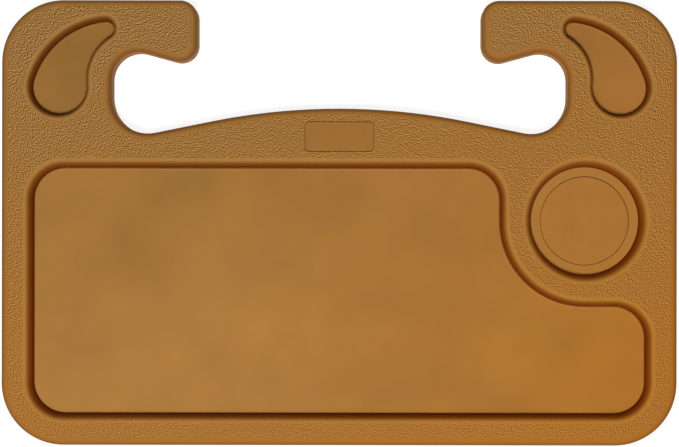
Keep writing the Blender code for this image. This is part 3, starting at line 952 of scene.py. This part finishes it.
# %% [markdown]
# ## The screws
# Eight countersunk screws hold the shells together, hidden under the mats. One is modelled, with the cross
# recess that a driver needs, as a turned blank whose head is then punched, and it is copied to its seats.

# %% One screw, copied to its seats
SCREW_LENGTH = 6.5 * MM
SCREW_POINT = 1 * MM
HEAD_LAND = 0.15 * MM
CROSS_WIDTH = 0.8 * MM
CROSS_REACH = 1.5 * MM
CROSS_DEPTH = 1.2 * MM
CROSS_TAPER = 0.3 * MM
CROSS_ROUND = 0.3 * MM


def cross_arcs():
    """The plan of a cross recess: four arms with round ends, joined by tight inner rounds."""
    half = CROSS_WIDTH / 2
    inner = half + CROSS_ROUND
    arms = []
    for quarter in range(4):
        turn = math.pi / 2 * quarter
        for along, across, radius in ((CROSS_REACH - half, 0, half), (inner, inner, -CROSS_ROUND)):
            x = along * math.cos(turn) - across * math.sin(turn)
            y = along * math.sin(turn) + across * math.cos(turn)
            arms.append((x, y, radius))
    return belt(arms)


def screw_model(floor):
    """A countersunk screw from its head to its point, with a cross recess that narrows as it goes down."""
    top = floor - SCREW_SINK
    screw = draw("countersunk_screw", circle_arcs(0, 0, SCREW_HEAD_RADIUS), 0, top)
    bpy.ops.mesh.flip_normals()
    lift(-HEAD_LAND)
    draw_in(SCREW_HEAD_RADIUS - SCREW_RADIUS, SCREW_HEAD - HEAD_LAND)
    lift(SCREW_HEAD + SCREW_POINT - SCREW_LENGTH)
    draw_in(SCREW_POINT, SCREW_POINT)
    close_up(screw)
    cross = draw("cross_recess", cross_arcs(), 0, top + CROSS_DEPTH)
    bpy.ops.mesh.flip_normals()
    lift(-CROSS_DEPTH)
    draw_in(CROSS_TAPER, CROSS_DEPTH)
    close_up(cross)
    carve(screw, [cross], "DIFFERENCE")
    finish_mesh(screw)
    return screw


screws = {}
for floor in (RECESS_FLOOR, POCKET_FLOOR):
    model = screw_model(floor)
    for node, (x, y) in screw_places(floor).items():
        screws[node] = copy_to(model, x, y)
        screws[node].name = f"zinc_{node}"
        screws[node].data.name = screws[node].name
    bpy.data.objects.remove(model)
report(screws["floor_screw_1"])
print(len(screws), "screws")

# %% [markdown]
# ## How the colour drifts
# The tray's tan is not one flat tone. Its corner tones hold painted light and shade: darker and yellower
# at the upper left, brighter and more orange towards the lower right. Every finish starts from four corner
# tones that are blended over the tray, and a slow noise breaks the blend so that no straight gradient shows.

# %% Blend four corner tones
DRIFT_SPANS = (("X", -90 * MM, 190 * MM), ("Y", -70 * MM, 110 * MM))
DRIFT_CLOUD = 60 * MM
DRIFT_UNREST = 0.22
MIXED = {"data_type": "RGBA"}


def drift_with_painted_light(tree, place, corners):
    """A colour that drifts over the tray, carrying the painted light and shade of its corner tones. Corners:
    lower left and right, upper left and right.
    """
    scale = 1 / DRIFT_CLOUD
    noise = add_node(tree, "ShaderNodeTexNoise", Vector=place, Scale=scale, Detail=3.0, Roughness=0.6)
    sides = add_node(tree, "ShaderNodeSeparateXYZ", Vector=place)
    shares = []
    for side, low, high in DRIFT_SPANS:
        span = {"Value": sides.outputs[side], "From_Min": low, "From_Max": high}
        share = add_node(tree, "ShaderNodeMapRange", {"clamp": False}, **span).outputs["Result"]
        swing = {"_0": noise.outputs["Fac"], "_1": 2 * DRIFT_UNREST, "_2": share}
        wander = add_node(tree, "ShaderNodeMath", {"operation": "MULTIPLY_ADD"}, **swing).outputs[0]
        ends = {"operation": "SUBTRACT", "use_clamp": True}
        shares.append(add_node(tree, "ShaderNodeMath", ends, _0=wander, _1=DRIFT_UNREST).outputs[0])
    rows = []
    for left, right in (corners[:2], corners[2:]):
        row = add_node(tree, "ShaderNodeMix", MIXED, _0=shares[0], _6=colour(left), _7=colour(right))
        rows.append(row.outputs[2])
    return add_node(tree, "ShaderNodeMix", MIXED, _0=shares[1], _6=rows[0], _7=rows[1]).outputs[2]


# %% [markdown]
# ## The grained face
# The face is moulded ABS: hard plastic that took the pebble grain of the mould. Its pebbles are a little
# under a millimetre apart. A Voronoi pattern makes them: its height bends the light, and its slope along the
# tray sets painted light on each pebble's lower side and painted shade on its upper side, fanned a little
# outwards, because soft light alone would leave the two sides too faint on a relief this fine. The marks on
# the vertices tell where the pebbles stop: the rounds were polished in the mould so that the part would
# release.

# %% The pebble grain
GRAIN = 0.85 * MM
GRAIN_DEPTH = 0.12 * MM
GRAIN_DOME = 0.7
GRIT = 0.8 * GRAIN
GRIT_SHARE = 0.6
GRAIN_SIDE = 0.3 * MM
GRAIN_FAN = 230 * MM
STEEPEST = 0.4


def pebbles(tree, place):
    """The height of the grain: a dome on each Voronoi cell, made uneven by a finer noise."""
    cells = add_node(tree, "ShaderNodeTexVoronoi", {"feature": "F1"}, Vector=place, Scale=1 / GRAIN)
    grit = add_node(tree, "ShaderNodeTexNoise", Vector=place, Scale=1 / GRIT, Detail=1.0)
    fall = {"operation": "SUBTRACT"}
    dome = add_node(tree, "ShaderNodeMath", fall, _0=GRAIN_DOME, _1=cells.outputs["Distance"]).outputs[0]
    uneven = {"_0": grit.outputs["Fac"], "_1": GRIT_SHARE, "_2": dome}
    return add_node(tree, "ShaderNodeMath", {"operation": "MULTIPLY_ADD"}, **uneven).outputs[0]


def painted_pebble_side(tree, place, relief):
    """Painted light and shade on the pebbles: 0 on a pebble's shaded upper side, 1 on its lit lower side,
    fanned a little outwards.
    """
    shift = {"_0": place, "_1": (1 + GRAIN_SIDE / GRAIN_FAN, 1, 1), "_2": (0, GRAIN_SIDE, 0)}
    beside = add_node(tree, "ShaderNodeVectorMath", {"operation": "MULTIPLY_ADD"}, **shift)
    rise = {"_0": pebbles(tree, beside.outputs[0]), "_1": relief}
    slope = add_node(tree, "ShaderNodeMath", {"operation": "SUBTRACT"}, **rise).outputs[0]
    span = {"Value": slope, "From_Min": -STEEPEST, "From_Max": STEEPEST}
    return add_node(tree, "ShaderNodeMapRange", **span).outputs[0]


# %% [markdown]
# The grain is worn to half its strength on the lower rail, where wrists rub it, and a little towards the
# cup. The tone also follows the height: painted shade deepens down the walls of the recesses to a dark
# foot, in the coaster's gap and over the rim's rounding, and painted light brightens the rim's upright wall.

# %% Grained ABS
WEAR = (-0.15, 1, 0)
LEAST_GRAIN = 0.5
PLASTIC_IOR = 1.4
PLASTIC_SHINE = 0.2
MATT = 0.68
DEEPENED = {"data_type": "RGBA", "blend_type": "MULTIPLY"}
PAINTED_SIDES_BLEND = {"data_type": "RGBA", "blend_type": "LINEAR_LIGHT"}
# Corner tones with painted light and shade: darker and yellower at the top, brighter and more orange at the
# lower right.
FACE_TONES_PAINTED_LIT = ("#c58931", "#cc8926", "#b98a3f", "#c38c3a")
PEBBLED = "#d5ccd2"
# Painted light and shade on the pebbles' sides. Grey #bcbcbc leaves the tone as it is: what is darker takes
# away from it, what is lighter adds to it.
PAINTED_PEBBLE_SIDES = ((0.1, "#a5afb7"), (0.5, "#b8babb"), (0.9, "#d6cdc3"))
# By height, from the coaster's seat to the face: painted shade in the coaster's gap, the floors, and then
# painted shade that deepens down the walls to their foot.
WALL_PAINTED_SHADE = (
    (0.0, "#dddbff"), (0.02, "#7a4210"), (0.07, "#7a4210"), (0.09, "#dddbff"),
    (0.14, "#dddbff"), (0.15, "#844b13"), (0.44, "#b0771d"), (0.68, "#b7893f"),
    (0.83, "#b2936f"), (0.937, "#c9bcce"), (0.977, "#ddd8f3"), (1.0, "#e3dff5"),
)
# Painted light and shade by height round the rim: a lighter, yellower tone on its upright wall above the
# seam, and a darker band over its rounding and in the badge's seat.
RIM_PAINTED_LIGHT_AND_SHADE = (
    (0.55, "#ffdc80"), (0.67, "#bcaf98"), (0.89, "#c3b3a8"),
    (0.937, "#c5b5ac"), (0.964, "#cdbcb5"), (0.99, "#d8c9cc"),
)


def grain_amount(tree, place, on_face):
    """How strong the grain is: none off the level face, and less where it is rubbed."""
    along = {"operation": "DOT_PRODUCT"}
    reach = add_node(tree, "ShaderNodeVectorMath", along, _0=place, _1=WEAR)
    rubbed = add_node(
        tree,
        "ShaderNodeMapRange",
        Value=reach.outputs["Value"],
        From_Min=-HALF_LENGTH,
        From_Max=HALF_LENGTH,
        To_Min=LEAST_GRAIN,
    )
    both = {"_0": on_face, "_1": rubbed.outputs[0]}
    return add_node(tree, "ShaderNodeMath", {"operation": "MULTIPLY"}, **both).outputs[0]


def face_tone(tree, place, on_face):
    """The drifting tan with its painted light and shade, and more painted light and shade by height down the
    walls and round the rim.
    """
    level = add_node(tree, "ShaderNodeSeparateXYZ", Vector=place).outputs["Z"]
    span = {"Value": level, "From_Min": COASTER_SEAT, "From_Max": THICKNESS}
    height = add_node(tree, "ShaderNodeMapRange", **span).outputs[0]
    # Painted shade and light by height: the recesses' tones where 'shoulder' is 1, the rim's and the badge
    # seat's where it is 0.
    shoulder = add_node(tree, "ShaderNodeAttribute", {"attribute_name": "shoulder"}).outputs["Fac"]
    rim = add_node(tree, "ShaderNodeValToRGB", {"stops": RIM_PAINTED_LIGHT_AND_SHADE}, Fac=height).outputs[0]
    painted_wall_shade = add_node(tree, "ShaderNodeValToRGB", {"stops": WALL_PAINTED_SHADE}, Fac=height).outputs[0]
    smooth = add_node(tree, "ShaderNodeMix", MIXED, _0=shoulder, _6=rim, _7=painted_wall_shade).outputs[2]
    shade = add_node(tree, "ShaderNodeMix", MIXED, _0=on_face, _6=smooth, _7=colour(PEBBLED)).outputs[2]
    tan = drift_with_painted_light(tree, place, FACE_TONES_PAINTED_LIT)
    return add_node(tree, "ShaderNodeMix", DEEPENED, _0=1.0, _6=tan, _7=shade).outputs[2]


def grained_abs():
    """Satin tan ABS, grained on its level face, with painted light and shade on the sides of its pebbles."""
    paint, tree = new_paint("pebble grained moulded ABS")
    place = add_node(tree, "ShaderNodeTexCoord").outputs["Object"]
    marked = add_node(tree, "ShaderNodeAttribute", {"attribute_name": "grain"}).outputs["Fac"]
    soft = {"interpolation_type": "SMOOTHSTEP"}
    on_face = add_node(tree, "ShaderNodeMapRange", soft, Value=marked).outputs[0]
    amount = grain_amount(tree, place, on_face)
    relief = pebbles(tree, place)
    grain = add_node(tree, "ShaderNodeMath", {"operation": "MULTIPLY"}, _0=relief, _1=amount).outputs[0]
    bump = add_node(tree, "ShaderNodeBump", Strength=1.0, Distance=GRAIN_DEPTH, Height=grain)
    # Painted light on each pebble's lower side and painted shade on its upper side.
    side = painted_pebble_side(tree, place, relief)
    painted_pebble_light = add_node(tree, "ShaderNodeValToRGB", {"stops": PAINTED_PEBBLE_SIDES}, Fac=side).outputs[0]
    plain = face_tone(tree, place, on_face)
    tone = add_node(tree, "ShaderNodeMix", PAINTED_SIDES_BLEND, _0=amount, _6=plain, _7=painted_pebble_light)
    body = add_node(
        tree,
        "ShaderNodeBsdfPrincipled",
        Base_Color=tone.outputs[2],
        Roughness=MATT,
        IOR=PLASTIC_IOR,
        Specular_IOR_Level=PLASTIC_SHINE,
        Normal=bump.outputs[0],
    )
    add_node(tree, "ShaderNodeOutputMaterial", Surface=body.outputs[0])
    return paint


# %% [markdown]
# ## Satin shell, rubber mats, coaster and badge
# The back shell is the same ABS with the fine satin of a blasted mould. The mats and the coaster are a
# smooth soft rubber, with the faint clouds that calendered sheet has; on the main mat the brightest cloud is
# a painted broad highlight, and the mats' corner tones hold painted shade. The badge is a polished plate
# without lettering. One recipe makes them all, with its own tones, clouds and gloss for each.

# %% Smooth finishes
# The patch of the endless noise that has its dark clouds where the photograph has them.
# On the main mat the brightest of these clouds is a painted broad highlight, left of the middle.
PATCH = (2.3, 1.3, 0.4)
CLOUD_LOW = 0.25
CLOUD_HIGH = 0.75


def smooth_finish(name, tones, roughness, speck, speck_depth, cloud=14 * MM, contrast=0.05):
    """A smooth plastic or rubber: drifting tones with any painted light and shade they hold, faint clouds
    and a fine texture that softens its shine.
    """
    paint, tree = new_paint(name)
    place = add_node(tree, "ShaderNodeTexCoord").outputs["Object"]
    moved = add_node(tree, "ShaderNodeMapping", Vector=place, Location=PATCH)
    clouds = add_node(tree, "ShaderNodeTexNoise", Vector=moved.outputs[0], Scale=1 / cloud, Detail=5.0)
    level = add_node(
        tree,
        "ShaderNodeMapRange",
        Value=clouds.outputs["Fac"],
        From_Min=CLOUD_LOW,
        From_Max=CLOUD_HIGH,
        To_Min=1 - 2 * contrast,
    )
    plain = drift_with_painted_light(tree, place, tones)
    tone = add_node(tree, "ShaderNodeMix", DEEPENED, _0=1.0, _6=plain, _7=level.outputs["Result"])
    specks = add_node(tree, "ShaderNodeTexNoise", Vector=place, Scale=1 / speck, Detail=2.0).outputs["Fac"]
    bump = add_node(tree, "ShaderNodeBump", Strength=1.0, Distance=speck_depth, Height=specks)
    body = add_node(
        tree,
        "ShaderNodeBsdfPrincipled",
        Base_Color=tone.outputs[2],
        Roughness=roughness,
        IOR=PLASTIC_IOR,
        Specular_IOR_Level=PLASTIC_SHINE,
        Normal=bump.outputs[0],
    )
    add_node(tree, "ShaderNodeOutputMaterial", Surface=body.outputs[0])
    return paint


def zinc_steel():
    """Bright zinc plated steel for the screws, mottled by the plating's crystals."""
    paint, tree = new_paint("zinc plated steel")
    place = add_node(tree, "ShaderNodeTexCoord").outputs["Object"]
    bloom = add_node(tree, "ShaderNodeTexNoise", Vector=place, Scale=1 / (1.2 * MM), Detail=3.0)
    crystals = {"stops": ((0.3, "#a3a6a8"), (0.7, "#c6c8c8"))}
    tone = add_node(tree, "ShaderNodeValToRGB", crystals, Fac=bloom.outputs["Fac"]).outputs[0]
    body = add_node(tree, "ShaderNodeBsdfPrincipled", Base_Color=tone, Roughness=0.32, Metallic=1.0)
    add_node(tree, "ShaderNodeOutputMaterial", Surface=body.outputs[0])
    return paint


# %% The six finishes
# Satin gives the rim a low even sheen, the polished badge catches a little more light, and rubber almost
# none. Their real textures are finer than a pixel, so the specks are as coarse as they need to be to show.
SATIN = 0.6
POLISHED = 0.5
SATIN_TONES = ("#b37632", "#b57229", "#a8702e", "#aa6f29")
BADGE_TONES = ("#9f6b24", "#9f6a22", "#9d6a26", "#9f6b24")
# The mats' corner tones hold painted shade, darkest at the upper left.
MAT_TONES_PAINTED_LIT = ("#b27d39", "#b77625", "#9e7031", "#ae7634")
COASTER_TONES = ("#b07630", "#b0742c", "#ae7632", "#b07630")
finishes = {
    "front_shell": grained_abs(),
    "back_shell": smooth_finish(
        "satin moulded ABS", SATIN_TONES, SATIN, speck=0.5 * MM, speck_depth=0.02 * MM
    ),
    "badge_plate": smooth_finish(
        "polished ABS plate", BADGE_TONES, POLISHED, speck=2 * MM, speck_depth=0.01 * MM
    ),
    "mat": smooth_finish(
        "calendered rubber sheet",
        MAT_TONES_PAINTED_LIT,
        MATT,
        speck=1.2 * MM,
        speck_depth=0.02 * MM,
        cloud=45 * MM,
        contrast=0.1,
    ),
    "coaster": smooth_finish(
        "moulded rubber disc", COASTER_TONES, MATT, speck=1.2 * MM, speck_depth=0.02 * MM
    ),
    "screw": zinc_steel(),
}
print("finishes:", ", ".join(paint.name for paint in finishes.values()))

# %% [markdown]
# ## Dress the frame
# Every piece takes its finish, rides on the body of the node that it stands for, and hides that node, which
# stays in the physics for collision.


# %% Finish, ride and replace
def paint_with(thing, slot):
    """Gives a piece or a CAD node one finish all over."""
    for material_slot in thing.material_slots:
        material_slot.material = finishes[slot]
    if not thing.material_slots:
        thing.data.materials.append(finishes[slot])


def dress(piece, node, body, slot):
    """The piece stands for a node from here on."""
    paint_with(piece, slot)
    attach(piece, body)
    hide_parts(node)


dress(front, "front_shell", "tray", "front_shell")
dress(badge, "badge_plate", "tray", "badge_plate")
dress(coaster, "cup_coaster", "cup_coaster_body", "coaster")
for node, mat in mats.items():
    dress(mat, node, f"{node}_body", "mat")
for node, screw in screws.items():
    dress(screw, node, "tray", "screw")
dress(back, "back_shell", "tray", "back_shell")

# %% [markdown]
# ## The last check
# Both boxes are written down: the CAD's from the start and the dressed tray's from now. They should agree to
# within a hair, because dressing a part doesn't change its size.

shown_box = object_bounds()
for name, (low, high) in (("CAD", cad_box), ("shown", shown_box)):
    print(name, "box:", " x ".join(f"{(top - bottom) / MM:.2f}" for bottom, top in zip(low, high)), "mm")
